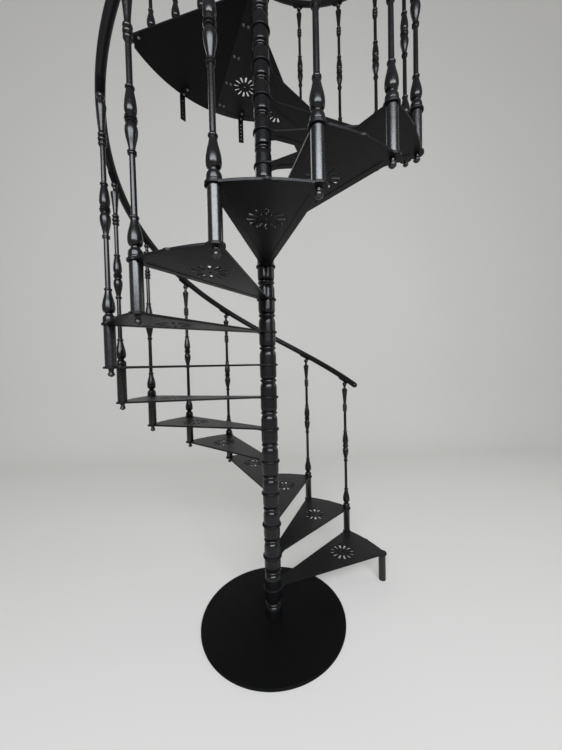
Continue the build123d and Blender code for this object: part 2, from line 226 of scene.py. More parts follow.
def painted(name, paint, surface, roughness, gloss, bump, dusty=0.15):
    """A satin paint over one kind of surface, whose grain is given by its inputs."""
    material, tree, shader = new_material(name)
    set_inputs(shader, {"IOR": 1.5, "Specular IOR Level": gloss})
    place, texture, film, relief = add_nodes(
        tree, "ShaderNodeTexCoord", "ShaderNodeGroup", "ShaderNodeGroup", "ShaderNodeBump"
    )
    texture.node_tree = grain
    set_inputs(texture, {**surface, "Roughness": roughness, "Spread": roughness_spread})
    film.node_tree = dust
    set_inputs(film, {"Amount": dusty, "Paint": (*paint, 1.0), "Dust": dust_colour})
    set_inputs(relief, {"Strength": bump, "Distance": grain_depth})
    link_nodes(
        tree,
        (place, "Object", texture, "Vector"),
        (place, "Object", film, "Vector"),
        (texture, "Height", relief, "Height"),
        (texture, "Roughness", shader, "Roughness"),
        (film, "Color", shader, "Base Color"),
        (relief, "Normal", shader, "Normal"),
    )
    print(f"{name}: roughness {roughness}, grain {surface['Cast Scale']} to the metre")
    return material


casting_black = (0.004, 0.004, 0.0045)
cast_paint = painted(
    "paint on flat casting", casting_black, casting_grain, roughness=0.42, gloss=0.16, bump=0.35
)
turned_paint = painted(
    "paint on turned casting", casting_black, turned_grain, roughness=0.24, gloss=0.31, bump=0.10
)
tube_paint = painted(
    "paint on tube", (0.0045, 0.0045, 0.005), tube_grain, roughness=0.25, gloss=0.54, bump=0.16
)
rail_paint = painted(
    "paint on rails", (0.004, 0.004, 0.0043), tube_grain, roughness=0.36, gloss=0.22, bump=0.20
)
plate_paint = painted(
    "paint on plate", (0.0035, 0.0035, 0.004), plate_grain, roughness=0.58, gloss=0.10, bump=0.25
)
# The disc has the plate's paint, made darker and almost free of dust: painted shade for the dark room
# that its top mirrors.
shaded_disc_black = (0.0022, 0.0022, 0.0024)
shaded_disc_paint = painted(
    "paint on disc", shaded_disc_black, plate_grain, roughness=0.58, gloss=0.07, bump=0.20, dusty=0.02
)
screw_paint = painted(
    "plating on screws", (0.10, 0.10, 0.102), screw_grain, roughness=0.34, gloss=0.50, bump=0.12
)

# %% [markdown]
# ## Turned pieces
# Balusters, column sections, tubes and nuts were turned or cast from turned patterns, so each one
# is a profile carried round an axis. Blender could spin a curve, but a short loop that writes the
# rings itself keeps the poles closed and the faces outward. The profiles are lists of radius and
# height, and a few helpers write the mouldings of a turner: a bead and a swelling curve.

# %% Mesh helpers


def new_object(name, data):
    """Put a mesh, a lamp or a camera in the scene under a plain name."""
    thing = bpy.data.objects.new(name, data)
    bpy.context.scene.collection.objects.link(thing)
    return thing


def finished(name, shape, material, angle=35.0):
    """Turn a bmesh into an object with outward faces; edges sharper than angle stay crisp."""
    bmesh.ops.recalc_face_normals(shape, faces=shape.faces)
    mesh = bpy.data.meshes.new(name)
    shape.to_mesh(mesh)
    shape.free()
    mesh.materials.append(material)
    for face in mesh.polygons:
        face.use_smooth = True
        face.material_index = 0
    mesh.set_sharp_from_angle(angle=math.radians(angle))
    return new_object(name, mesh)


def skin(shape, rings, closed=False):
    """Faces between rings that follow each other; a ring of one point is a pole."""
    pairs = list(zip(rings, rings[1:]))
    if closed:
        pairs.append((rings[-1], rings[0]))
    for lower, upper in pairs:
        count = max(len(lower), len(upper))
        for i in range(count):
            j = (i + 1) % count
            if len(lower) == 1:
                shape.faces.new((lower[0], upper[j], upper[i]))
            elif len(upper) == 1:
                shape.faces.new((lower[i], lower[j], upper[0]))
            else:
                shape.faces.new((lower[i], lower[j], upper[j], upper[i]))


def spread(start, end, steps):
    """Values from start to end in even steps, both ends included."""
    return [start + (end - start) * i / steps for i in range(steps + 1)]


def add_turned(shape, profile, sides, centre=(0.0, 0.0)):
    """Add a profile of (radius, height) points, turned round an upright axis, to a bmesh."""
    angles = spread(0.0, 2 * math.pi, sides)[:-1]
    rings = []
    for radius, height in profile:
        around = angles if radius > tiny else [0.0]
        spokes = [(radius * math.cos(a), radius * math.sin(a)) for a in around]
        rings.append([shape.verts.new((centre[0] + x, centre[1] + y, height)) for x, y in spokes])
    skin(shape, rings, closed=len(rings[0]) > 1 and len(rings[-1]) > 1)


def turned(name, profile, material, sides):
    """Turn a profile round the Z axis. Open ends are joined by an inner wall."""
    shape = bmesh.new()
    add_turned(shape, profile, sides)
    return finished(name, shape, material)


def bead(level, height, base, crest, steps=6):
    """A rounded ring: half an ellipse that stands out from the radius base to crest."""
    angles = spread(0.0, math.pi, steps)
    return [(base + (crest - base) * math.sin(a), level - height / 2 * math.cos(a)) for a in angles]


def swell(*marks, steps=3):
    """A smooth outline through (radius, height) marks."""
    points = [Vector((r, h)) for r, h in marks]
    padded = [2 * points[0] - points[1], *points, 2 * points[-1] - points[-2]]
    outline = []
    for before, start, end, after in zip(padded, padded[1:], padded[2:], padded[3:]):
        for i in range(steps):
            t = i / steps
            spot = 0.5 * (
                2 * start
                + (end - before) * t
                + (2 * before - 5 * start + 4 * end - after) * t**2
                + (3 * start - before - 3 * end + after) * t**3
            )
            outline.append((spot.x, spot.y))
    outline.append(marks[-1])
    return outline


# %% [markdown]
# ## Copies that climb the stair
# Balusters, tubes, nuts, treads and saddles all repeat by one rule: turn by one tread and rise by
# one riser. Copying meshes in a loop would work, but a Geometry Nodes tree states the rule once:
# points on a helix, one instance of the piece on each, then the instances made real.

# %% Helix copies tree


def set_on_points(tree, group_in, group_out, points, facing):
    """End a tree: set its piece on points, make the copies real and give them the material."""
    piece, instances, realize, finish = add_nodes(
        tree,
        "GeometryNodeObjectInfo",
        "GeometryNodeInstanceOnPoints",
        "GeometryNodeRealizeInstances",
        "GeometryNodeSetMaterial",
    )
    link_nodes(
        tree,
        (group_in, "Piece", piece, "Object"),
        (points, 0, instances, "Points"),
        (piece, "Geometry", instances, "Instance"),
        (facing, 0, instances, "Rotation"),
        (instances, 0, realize, 0),
        (realize, 0, finish, "Geometry"),
        (group_in, "Material", finish, "Material"),
        (finish, 0, group_out, "Geometry"),
    )


climb, climb_in, climb_out = new_group(
    "copies up the stair",
    "GeometryNodeTree",
    {
        "Geometry": "Geometry",
        "Piece": "Object",
        "Count": "Int",
        "Radius": "Float",
        "First Angle": "Float",
        "Angle Step": "Float",
        "First Height": "Float",
        "Height Step": "Float",
        "Material": "Material",
    },
    {"Geometry": "Geometry"},
)
climb.is_modifier = True
index, points, spot, facing = add_nodes(
    climb, "GeometryNodeInputIndex", "GeometryNodePoints", "ShaderNodeCombineXYZ", "ShaderNodeCombineXYZ"
)
angle, cosine, sine, across, along, rise = add_nodes(
    climb, "MULTIPLY_ADD", "COSINE", "SINE", "MULTIPLY", "MULTIPLY", "MULTIPLY_ADD"
)
link_nodes(
    climb,
    (index, 0, angle, 0),
    (climb_in, "Angle Step", angle, 1),
    (climb_in, "First Angle", angle, 2),
    (angle, 0, cosine, 0),
    (angle, 0, sine, 0),
    (cosine, 0, across, 0),
    (climb_in, "Radius", across, 1),
    (sine, 0, along, 0),
    (climb_in, "Radius", along, 1),
    (index, 0, rise, 0),
    (climb_in, "Height Step", rise, 1),
    (climb_in, "First Height", rise, 2),
    (across, 0, spot, "X"),
    (along, 0, spot, "Y"),
    (rise, 0, spot, "Z"),
    (angle, 0, facing, "Z"),
    (climb_in, "Count", points, "Count"),
    (spot, 0, points, "Position"),
)
set_on_points(climb, climb_in, climb_out, points, facing)
print("copies up the stair:", len(climb.nodes), "nodes")

# %% Run a tree


def kept_mesh(holder):
    """Swap an object's modifiers for the mesh that they make."""
    evaluated = holder.evaluated_get(bpy.context.evaluated_depsgraph_get())
    mesh = bpy.data.meshes.new_from_object(evaluated)
    holder.modifiers.clear()
    holder.data = mesh
    mesh.name = holder.name
    return mesh


def triangle_count(mesh):
    """How many triangles the faces of a mesh make."""
    return sum(len(face.vertices) - 2 for face in mesh.polygons)


def flat_faces_lead(holder):
    """Let large faces set the normals, so soft edges shade and flat faces stay flat."""
    weighted = holder.modifiers.new("flat faces lead", "WEIGHTED_NORMAL")
    weighted.weight = 100


def run_tree(name, tree, piece, values, flat_faces=False):
    """Run a copying tree on a piece, keep the result as a plain mesh and remove the piece."""
    holder = new_object(name, bpy.data.meshes.new(name))
    modifier = holder.modifiers.new("copies", "NODES")
    modifier.node_group = tree
    inputs = {**values, "Piece": piece, "Material": piece.data.materials[0]}
    for item in tree.interface.items_tree:
        if item.in_out == "INPUT" and item.name in inputs:
            modifier[item.identifier] = inputs[item.name]
    if flat_faces:
        flat_faces_lead(holder)
    mesh = kept_mesh(holder)
    bpy.data.objects.remove(piece)
    print(f"{name}: {values['Count']} copies, {triangle_count(mesh)} triangles")
    return holder


def up_the_stair(name, piece, first_height, count=tread_count, radius=0.0, flat_faces=False):
    """Copies of a piece, one riser and one tread's turn apart, from the first corner."""
    values = {
        "Count": count,
        "Radius": radius,
        "First Angle": corner_turn(1),
        "Angle Step": turn,
        "First Height": first_height,
        "Height Step": riser,
    }
    return run_tree(name, climb, piece, values, flat_faces)


def dress(piece, slot, *nodes):
    """Hide the CAD nodes that a piece stands for, attach it to the root body and print its slot."""
    if nodes:
        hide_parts(*nodes)
    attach(piece, "root")
    print(f"{piece.name}: {slot}")


# %% [markdown]
# ## Balusters
# Each baluster stands on the tread's corner. From its domed foot it goes through a round bulb, a
# bead, a plain shaft, two vases that meet at three ridges, a thinner shaft with three reeds, and a
# flared cup with a ball, which carries the handrail.

# %% Baluster profile
foot_radius = 0.026
ball_radius = 0.016
ball_level = 0.94826
foot = swell(
    (0.0254, 0.0085), (0.0252, 0.0165), (0.0244, 0.0240), (0.0220, 0.0300), (0.0176, 0.0345), steps=4
)
bulb = swell(
    (0.0158, 0.0432),
    (0.0218, 0.0480),
    (0.0247, 0.0560),
    (0.0254, 0.0655),
    (0.0247, 0.0790),
    (0.0217, 0.0958),
    (0.0173, 0.1127),
    (0.0138, 0.1295),
    (0.0130, 0.1375),
)
lower_vase = swell(
    (0.0106, 0.3725),
    (0.0122, 0.3850),
    (0.0150, 0.3980),
    (0.0186, 0.4130),
    (0.0211, 0.4280),
    (0.0218, 0.4390),
    (0.0205, 0.4510),
    (0.0172, 0.4590),
    (0.0148, 0.4618),
)
upper_vase = swell(
    (0.0148, 0.4932),
    (0.0188, 0.4985),
    (0.0209, 0.5105),
    (0.0206, 0.5230),
    (0.0190, 0.5397),
    (0.0155, 0.5613),
    (0.0125, 0.5765),
)
cup = swell(
    (0.0105, 0.7985),
    (0.0113, 0.8150),
    (0.0130, 0.8350),
    (0.0152, 0.8600),
    (0.0182, 0.8870),
    (0.0202, 0.9020),
)
baluster_profile = [
    (0.0, 0.0),
    (foot_radius, 0.0),
    *bead(0.0035, 0.007, foot_radius - 0.001, foot_radius),
    *foot,
    *bead(0.0368, 0.0040, 0.0155, 0.0166, steps=4),
    (0.0140, 0.0396),
    (0.0140, 0.0415),
    *bulb,
    *bead(0.143, 0.0105, 0.0125, 0.0160),
    (0.0110, 0.1495),
    (0.0108, 0.1515),
    *swell((0.0108, 0.1535), (0.0105, 0.255), (0.0100, 0.350), (0.0100, 0.3555), steps=2),
    *bead(0.3600, 0.0068, 0.0105, 0.0154, steps=5),
    *bead(0.3675, 0.0072, 0.0108, 0.0160, steps=5),
    *lower_vase,
    (0.0145, 0.4650),
    *bead(0.4695, 0.0084, 0.0150, 0.0204, steps=4),
    *bead(0.4781, 0.0086, 0.0158, 0.0220, steps=4),
    *bead(0.4867, 0.0084, 0.0150, 0.0204, steps=4),
    (0.0145, 0.4914),
    *upper_vase,
    (0.0107, 0.5775),
    (0.0107, 0.5792),
    *bead(0.5845, 0.0100, 0.0116, 0.0162, steps=5),
    *swell((0.0104, 0.5905), (0.0103, 0.6600), (0.0102, 0.7400), steps=2),
    *bead(0.7500, 0.0165, 0.0115, 0.0168),
    *bead(0.7690, 0.0185, 0.0118, 0.0176),
    *bead(0.7880, 0.0165, 0.0115, 0.0168),
    *cup,
    *bead(0.9060, 0.0076, 0.0192, 0.0208, steps=4),
    *swell((0.0180, 0.9108), (0.0118, 0.9160), (0.0092, 0.9225), (0.0088, 0.9335), steps=4),
]
ball_flat = math.radians(72.5)
ball_angles = [math.radians(degrees) for degrees in range(-56, 71, 14)] + [ball_flat]
baluster_profile += [
    (ball_radius * math.cos(a), ball_level + ball_radius * math.sin(a)) for a in ball_angles
]
ball_top = ball_level + ball_radius * math.sin(ball_flat)
baluster_profile.append((0.0, ball_top))
print(f"baluster: {len(baluster_profile)} rings, {ball_top:.4f} m high")

# %% Turn the balusters
baluster = turned("baluster", baluster_profile, turned_paint, sides=24)
balusters = up_the_stair("turned_balusters", baluster, 2 * riser, radius=guard_radius)
dress(balusters, "black_casting", "balusters")

# %% [markdown]
# The landing's guard has four of the same balusters in a straight row, so the rule is a line. A
# mesh line makes those points, and the same tree later sets the bolts.

# %% Line copies tree
row, row_in, row_out = new_group(
    "copies in a row",
    "GeometryNodeTree",
    {
        "Geometry": "Geometry",
        "Piece": "Object",
        "Count": "Int",
        "Start": "Vector",
        "Step": "Vector",
        "Turn": "Float",
        "Material": "Material",
    },
    {"Geometry": "Geometry"},
)
row.is_modifier = True
row_line, row_facing = add_nodes(row, "GeometryNodeMeshLine", "ShaderNodeCombineXYZ")
row_line.mode = "OFFSET"
link_nodes(
    row,
    (row_in, "Count", row_line, "Count"),
    (row_in, "Start", row_line, "Start Location"),
    (row_in, "Step", row_line, "Offset"),
    (row_in, "Turn", row_facing, "Z"),
)
set_on_points(row, row_in, row_out, row_line, row_facing)
print("copies in a row:", len(row.nodes), "nodes")


def in_a_row(name, piece, count, start, step, facing=0.0):
    """Copies of a piece in a straight row."""
    values = {"Count": count, "Start": tuple(start), "Step": tuple(step), "Turn": facing}
    return run_tree(name, row, piece, values)


# %% Turn the landing's balusters
landing_baluster_count = 4
landing_start = 0.183
landing_spacing = 0.172
landing_baluster = turned("landing_baluster", baluster_profile, turned_paint, sides=24)
landing_balusters = in_a_row(
    "turned_landing_balusters",
    landing_baluster,
    landing_baluster_count,
    plan(guard_turn, landing_start, landing_level),
    plan(guard_turn, landing_spacing),
)
dress(landing_balusters, "black_casting", "landing_balusters")

# %% [markdown]
# ## Column
# One turned section stands between each pair of tread hubs. Its lower barrel ends in a rounded
# shoulder, then come a groove, a stout ring, a thin fillet and a second groove, and the upper
# barrel starts with a rounded edge. The first section is shorter at its foot, because it stands on
# the disc.

# %% Section profile
section_radius = 0.0473
bore_radius = 0.0365
groove_radius = 0.0385
ring_drop = 0.083


def section_profile(bottom, top):
    """One turned section between two flat seats."""
    ring = top - ring_drop
    shoulder = swell(
        (section_radius, ring - 0.0430),
        (section_radius - 0.0007, ring - 0.0350),
        (section_radius - 0.0022, ring - 0.0270),
        (section_radius - 0.0048, ring - 0.0195),
        (section_radius - 0.0078, ring - 0.0150),
        (groove_radius, ring - 0.0136),
    )
    edge = swell(
        (groove_radius, ring + 0.0150),
        (section_radius - 0.0034, ring + 0.0160),
        (section_radius - 0.0014, ring + 0.0200),
        (section_radius - 0.0004, ring + 0.0260),
        (section_radius, ring + 0.0330),
    )
    return [
        (bore_radius, bottom),
        (section_radius - 0.001, bottom),
        (section_radius, bottom + 0.001),
        (section_radius, ring - 0.0450),
        *shoulder,
        (groove_radius, ring - 0.0112),
        *bead(ring - 0.0010, 0.0180, groove_radius + 0.0006, section_radius - 0.0002, steps=8),
        (groove_radius, ring + 0.0092),
        *bead(ring + 0.0118, 0.0036, groove_radius, section_radius - 0.0034, steps=4),
        *edge,
        (section_radius, ring + 0.0350),
        (section_radius, top - 0.001),
        (section_radius - 0.001, top),
        (bore_radius, top),
    ]


# %% Turn the column


def join(name, *pieces):
    """Join finished meshes into one piece."""
    shape = bmesh.new()
    material = pieces[0].data.materials[0]
    for piece in pieces:
        shape.from_mesh(piece.data)
        bpy.data.objects.remove(piece)
    return finished(name, shape, material)


seat = riser - hub_height
first_section = turned("column_foot", section_profile(base_top, seat), turned_paint, sides=40)
section = turned("column_section", section_profile(0.0, seat), turned_paint, sides=40)
upper_sections = up_the_stair("column_rest", section, riser)
column = join("turned_column", first_section, upper_sections)
dress(column, "black_casting", "column_sections")

# %% Turn the newel
newel_count = round((newel_top - landing_level) / riser)
newel_section = turned("newel_section", section_profile(0.0, seat), turned_paint, sides=40)
newel = up_the_stair("turned_newel", newel_section, landing_level, newel_count)
dress(newel, "black_casting", "newel_sections")

# %% Round the newel's rings
hub_radius = 0.0555
hub_bore = 0.0215
hub_rounding = 0.0035


def hub_profile(bottom, top):
    """A hub's rim, rounded like a thick coin."""
    return [
        (hub_bore, bottom),
        (hub_radius - hub_rounding, bottom),
        *bead((bottom + top) / 2, top - bottom, hub_radius - hub_rounding, hub_radius, steps=8),
        (hub_bore, top),
    ]


newel_ring = turned("newel_ring", hub_profile(0.0, hub_height), turned_paint, sides=48)
newel_rings = up_the_stair("rounded_newel_rings", newel_ring, landing_level + seat, newel_count)
dress(newel_rings, "black_casting", "newel_rings")

# %% [markdown]
# The newel ends in a cap: a plain collar that takes the landing's rail, a bead, a neck and a ball.

# %% Turn the newel's cap
cap_ball = 0.038
collar_height = 0.112
cap_bead_height = 0.012
cap_neck_height = 0.014
cap_neck_radius = 0.024
cap_bead = newel_top + collar_height
cap_neck = cap_bead + cap_bead_height
ball_foot = cap_neck + cap_neck_height
ball_middle = ball_foot + math.sqrt(cap_ball**2 - cap_neck_radius**2)
cap_angles = [math.radians(degrees) for degrees in range(-50, 90, 10)]
cap_profile = [
    (0.0, newel_top),
    (section_radius - 0.001, newel_top),
    (section_radius, newel_top + 0.001),
    (section_radius, cap_bead - 0.004),
    (section_radius - 0.003, cap_bead - 0.002),
    (section_radius - 0.003, cap_bead),
    *bead(cap_bead + cap_bead_height / 2, cap_bead_height, 0.048, 0.053, steps=8),
    *swell(
        (0.046, cap_neck + 0.0005),
        (0.034, cap_neck + 0.0030),
        (0.0258, cap_neck + 0.0075),
        (cap_neck_radius, ball_foot - 0.001),
        steps=4,
    ),
    *[(cap_ball * math.cos(a), ball_middle + cap_ball * math.sin(a)) for a in cap_angles],
    (0.0, ball_middle + cap_ball),
]
cap = turned("turned_newel_cap", cap_profile, turned_paint, sides=48)
dress(cap, "black_casting", "newel_cap")
print(f"newel's cap to {ball_middle + cap_ball:.3f} m")

# %% [markdown]
# ## Tubes and nuts at the corners
# A tube spaces each pair of treads at the corner that they share, and the baluster's stud runs
# down through it to a cap nut under the lower tread. The same tube is the post of the first tread.

# %% Turn the tubes
spacer_height = riser - plate_thickness
spacer_radius = 0.0235
spacer_bore = 0.0185
spacer_end = [
    (spacer_bore, 0.0),
    (spacer_radius - 0.0010, 0.0),
    (spacer_radius - 0.0003, 0.0003),
    (spacer_radius, 0.0010),
    (spacer_radius, 0.0025),
]
spacer_profile = spacer_end + [(radius, spacer_height - end) for radius, end in reversed(spacer_end)]
spacer = turned("spacer", spacer_profile, tube_paint, sides=40)
spacers = up_the_stair("turned_spacers", spacer, riser, radius=guard_radius)
dress(spacers, "black_tube", "spacer_tubes")

post_shape = bmesh.new()
add_turned(post_shape, spacer_profile, sides=40, centre=plan(corner_turn(0), guard_radius))
post = finished("turned_post", post_shape, tube_paint)
dress(post, "black_tube", "first_tread_post")

# %% Turn the cap nuts
nut_profile = [
    (0.0, -0.0360),
    (0.0030, -0.0357),
    *swell((0.0058, -0.0345), (0.0095, -0.0318), (0.0130, -0.0285), (0.0140, -0.0272)),
    *bead(-0.0249, 0.0042, 0.0138, 0.0150, steps=5),
    (0.0128, -0.0226),
    *swell((0.0126, -0.0222), (0.0127, -0.0190), (0.0110, -0.0150), (0.0088, -0.0118)),
    (0.0092, -0.0092),
    (0.0113, -0.0088),
    (0.0115, -0.0078),
    (0.0115, 0.0),
    (0.0, 0.0),
]
nut = turned("nut", nut_profile, tube_paint, sides=24)
nuts = up_the_stair("cap_nuts", nut, riser - plate_thickness, radius=guard_radius)
dress(nuts, "black_casting", "baluster_nuts")

# %% [markdown]
# ## Treads
# A tread is a flat casting: a wedge with round ears at its two corners, a small nose in the middle
# of its edge, a hub round the pole, a sunk panel below and a rosette of twelve petals through it.
# The whole tread could be a Boolean of simple solids, but cast edges are round, and Booleans leave
# ragged ones. Here plane loops are drawn first, each loop is drawn up into a wall whose edges roll
# over, and flat faces are filled in between the walls.

# %% Draw loops


def arc(centre, radius, start, end, steps):
    """Points on an arc from one angle to another, both ends included."""
    angles = spread(start, end, steps)
    return [Vector((centre.x + radius * math.cos(a), centre.y + radius * math.sin(a))) for a in angles]


def beside(distance, offset):
    """Plan point along the wedge's side line, moved outwards by offset."""
    return plan(half_turn, distance, 0.0, offset).to_2d()


def mirrored(half_loop):
    """A loop from its upper half, which starts and ends on the centre line."""
    lower = [Vector((p.x, -p.y)) for p in reversed(half_loop[1:-1])]
    loop = []
    for spot in half_loop + lower:
        if not loop or (spot - loop[-1]).length > tiny:
            loop.append(spot)
    return loop


# %% Outline of a tread
edge_radius = guard_radius + 0.020
side_margin = 0.017
ear_radius = 0.031
cove_radius = 0.080
nose_radius = 0.016
nose_reach = 0.006
nose_blend = 0.026
hub_lip = 0.0012
origin = Vector((0.0, 0.0))


def tread_outline():
    """Outline of a tread whose centre line is the X axis."""
    nose = Vector((edge_radius + nose_reach - nose_radius, 0.0))
    span = edge_radius + nose_blend
    x = (span**2 - (nose_radius + nose_blend) ** 2 + nose.x**2) / (2 * nose.x)
    blend_centre = Vector((x, math.sqrt(span**2 - x**2)))
    nose_end = math.atan2(blend_centre.y, blend_centre.x - nose.x)
    edge_start = math.atan2(blend_centre.y, blend_centre.x)
    ear = beside(guard_radius, 0.0)
    meet = (edge_radius**2 - ear_radius**2 + guard_radius**2) / (2 * guard_radius)
    aside = math.sqrt(edge_radius**2 - meet**2)
    ear_start = half_turn + math.atan2(-aside, meet - guard_radius)
    ear_end = half_turn + math.pi - math.asin(side_margin / ear_radius)
    plate_hub = hub_radius - hub_lip
    cove_span = plate_hub + cove_radius
    cove_along = math.sqrt(cove_span**2 - (side_margin + cove_radius) ** 2)
    cove = beside(cove_along, side_margin + cove_radius)
    cove_turn = math.atan2(side_margin + cove_radius, cove_along)
    return mirrored(
        arc(nose, nose_radius, 0.0, nose_end, 4)
        + arc(blend_centre, nose_blend, nose_end + math.pi, edge_start + math.pi, 4)
        + arc(origin, edge_radius, edge_start, half_turn - math.atan2(aside, meet), 18)
        + arc(ear, ear_radius, ear_start, ear_end, 16)
        + arc(cove, cove_radius, half_turn - math.pi / 2, half_turn + cove_turn - math.pi, 10)
        + arc(origin, plate_hub, half_turn + cove_turn, math.pi, 14)
    )


outline = tread_outline()
print(f"tread outline: {len(outline)} points")

# %% Loops of the sunk panel and the rosette
recess_radius = edge_radius - 0.043
recess_inset = 0.0155
recess_corner = 0.012
rosette_middle = Vector((0.556, 0.0))
eye_radius = 0.006
petal_count = 12
petal_start = 0.039
petal_end = 0.072
petal_start_radius = 0.004
petal_end_radius = 0.008


def panel_loop():
    """The sunk panel: a wedge with rounded far corners, ending in a point near the hub."""
    span = recess_radius - recess_corner
    inset = recess_inset + recess_corner
    corner = beside(math.sqrt(span**2 - inset**2), -inset)
    corner_start = math.atan2(corner.y, corner.x)
    point = Vector((recess_inset / math.sin(half_turn), 0.0))
    return mirrored(
        arc(origin, recess_radius, 0.0, corner_start, 14)
        + arc(corner, recess_corner, corner_start, half_turn + math.pi / 2, 6)
        + [point]
    )


def petal_loop(number):
    """A slot that widens outwards and has round ends."""
    lean = math.asin((petal_end_radius - petal_start_radius) / (petal_end - petal_start))
    tip = arc(Vector((petal_end, 0.0)), petal_end_radius, -math.pi / 2 - lean, math.pi / 2 + lean, 9)
    foot = Vector((petal_start, 0.0))
    foot_arc = arc(foot, petal_start_radius, math.pi / 2 + lean, 1.5 * math.pi - lean, 5)
    around = Matrix.Rotation(2 * math.pi * number / petal_count, 2)
    return [around @ spot + rosette_middle for spot in tip + foot_arc]


def full_circle(centre, radius, steps):
    """A closed circle of points."""
    return arc(centre, radius, 0.0, 2 * math.pi * (1 - 1 / steps), steps - 1)


holes = [petal_loop(number) for number in range(petal_count)]
holes.append(full_circle(rosette_middle, eye_radius, 14))
print(f"rosette: {len(holes)} openings")

# %% Raise walls and fill faces
least_cosine = 0.4


def inset_loop(loop, distance):
    """A counter-clockwise loop moved inwards by a distance, very sharp corners by less."""
    moved = []
    for i, spot in enumerate(loop):
        ahead = (loop[(i + 1) % len(loop)] - spot).normalized()
        behind = (spot - loop[i - 1]).normalized()
        inward = Vector((-ahead.y, ahead.x))
        middle = (inward + Vector((-behind.y, behind.x))).normalized()
        moved.append(spot + middle * distance / max(middle.dot(inward), least_cosine))
    return moved


def wall(shape, loop, stations):
    """Skin between copies of a loop, each moved inwards and set to a height."""
    rings = [
        [shape.verts.new((spot.x, spot.y, height)) for spot in inset_loop(loop, inward)]
        for inward, height in stations
    ]
    skin(shape, rings)
    return rings[0], rings[-1]


def rolled(bottom, top, low, high, steps):
    """Stations of a wall whose lower and upper edges roll over by low and high."""
    quarter = spread(0.0, math.pi / 2, steps)
    under = [(low * (1 - math.sin(a)), bottom + low * (1 - math.cos(a))) for a in quarter]
    over = [(high * (1 - math.cos(a)), top - high * (1 - math.sin(a))) for a in quarter]
    return under + over


def fill(shape, *rings):
    """Flat face between rings that lie in one plane."""
    edges = []
    for ring in rings:
        edges += [shape.edges.get((ring[i - 1], ring[i])) for i in range(len(ring))]
    bmesh.ops.triangle_fill(shape, use_beauty=True, use_dissolve=False, edges=edges)


# %% Cast the treads
recess_depth = 0.0020
recess_floor = recess_depth - plate_thickness
hub_sink = 0.0004
rim_stations = rolled(-plate_thickness, 0.0, low=0.0012, high=0.0018, steps=3)
tread_shape = bmesh.new()
rim_low, rim_high = wall(tread_shape, outline, rim_stations)
bore = full_circle(origin, hub_bore, 24)
bore_low, bore_high = wall(tread_shape, bore, [(0.0, -plate_thickness), (0.0, 0.0)])
panel_stations = [
    (-0.0006, -plate_thickness),
    (0.0000, -plate_thickness + 0.0004),
    (0.0006, recess_floor - 0.0005),
    (0.0016, recess_floor),
]
panel_low, panel_high = wall(tread_shape, panel_loop(), panel_stations)
hole_edges = rolled(recess_floor, 0.0, low=0.0008, high=0.0012, steps=2)
hole_stations = [(-inward, height) for inward, height in hole_edges]
hole_rings = [wall(tread_shape, hole, hole_stations) for hole in holes]
fill(tread_shape, rim_high, bore_high, *[ring for _, ring in hole_rings])
fill(tread_shape, rim_low, bore_low, panel_low)
fill(tread_shape, panel_high, *[ring for ring, _ in hole_rings])
add_turned(tread_shape, hub_profile(-hub_height, -hub_sink), sides=48)
tread = finished("tread", tread_shape, cast_paint, angle=180.0)
tread.data.transform(Matrix.Rotation(-half_turn, 4, "Z"))
treads = up_the_stair("tread_castings", tread, riser, flat_faces=True)
dress(treads, "black_casting", *[f"tread_{number:02d}" for number in range(1, tread_count + 1)])

# %% [markdown]
# ## Landing, disc and straps
# The landing's last step and floor have lapped edges that would be slow to draw by hand, and their
# CAD shapes are right. A copy of each is merged into one skin, its flat faces are joined, a Bevel
# modifier rounds the edges, and a Weighted Normal modifier keeps the flat faces flat.

# %% Soft copies of CAD nodes


def softened(name, node, slot, material, width):
    """A copy of a CAD node with rounded edges, as the piece that replaces it."""
    shape = bmesh.new()
    shape.from_mesh(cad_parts[node].data)
    bmesh.ops.remove_doubles(shape, verts=shape.verts, dist=2e-6)
    bmesh.ops.dissolve_limit(shape, angle_limit=math.radians(0.5), verts=shape.verts, edges=shape.edges)
    holder = finished(name, shape, material, angle=180.0)
    bevel = holder.modifiers.new("soft edges", "BEVEL")
    bevel.width = width
    bevel.segments = 2
    bevel.limit_method = "ANGLE"
    bevel.angle_limit = math.radians(40)
    flat_faces_lead(holder)
    mesh = kept_mesh(holder)
    dress(holder, slot, node)
    print(f"{name}: {triangle_count(mesh)} triangles")


softened("landing_step_casting", "landing_step", "black_casting", cast_paint, width=0.0012)
softened("landing_floor", "landing_plate", "black_plate", plate_paint, width=0.0010)
softened("soft_straps", "wall_straps", "black_plate", plate_paint, width=0.0007)

# %% Turn the disc
disc_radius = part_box("base_plate")[1].x
disc_profile = [
    (0.0, 0.0),
    (disc_radius - 0.0010, 0.0),
    (disc_radius, 0.0010),
    (disc_radius, base_top - 0.0030),
    (disc_radius - 0.0006, base_top - 0.0013),
    (disc_radius - 0.0019, base_top - 0.0003),
    (disc_radius - 0.0036, base_top),
    (0.0, base_top),
]
disc = turned("base_disc", disc_profile, shaded_disc_paint, sides=144)
dress(disc, "black_plate", "base_plate")

# %% [markdown]
# ## Bolts
# The landing's floor is bolted to the last step along their lap, and each strap to the floor. Seen
# from below, every bolt ends in a hex nut on a washer; above, it has a low domed head.

# %% Make a bolt


